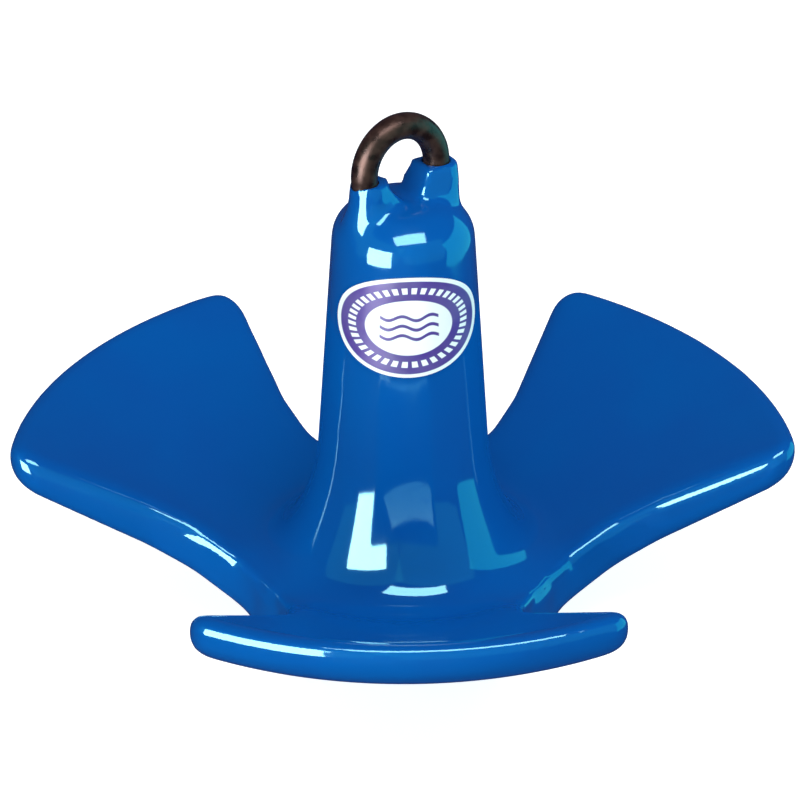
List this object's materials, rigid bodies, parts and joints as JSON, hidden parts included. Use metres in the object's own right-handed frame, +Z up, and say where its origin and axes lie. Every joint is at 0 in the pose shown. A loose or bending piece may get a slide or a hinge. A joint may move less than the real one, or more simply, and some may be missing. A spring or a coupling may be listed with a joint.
{
  "type": "river anchor",
  "caption": "Fluked river anchor: a tapered trunk on a hub with fan-shaped upswept flukes, dipped in glossy vinyl, with a bent steel rope eye on top.",
  "frame": {"origin": "centre of the flat foot that the anchor stands on, on the trunk's axis", "axes": "+Z up the trunk to the rope eye, +X along the middle of one fluke; the eye stands in the XZ plane, so its opening runs along Y"},
  "size_m": [0.2665, 0.287, 0.2093],
  "materials": {
    "cast_iron": "as cast, hidden under the coat",
    "forged_steel": "dark brown mill scale with a light oil sheen",
    "blue_vinyl": "thick dipped vinyl, very glossy, slightly uneven",
    "label": "printed vinyl label, glossy"
  },
  "bodies": {
    "root": {"iron_casting": "cast_iron", "steel_eye": "forged_steel", "vinyl_coat": "blue_vinyl", "label": "label"}
  },
  "joints": []
}
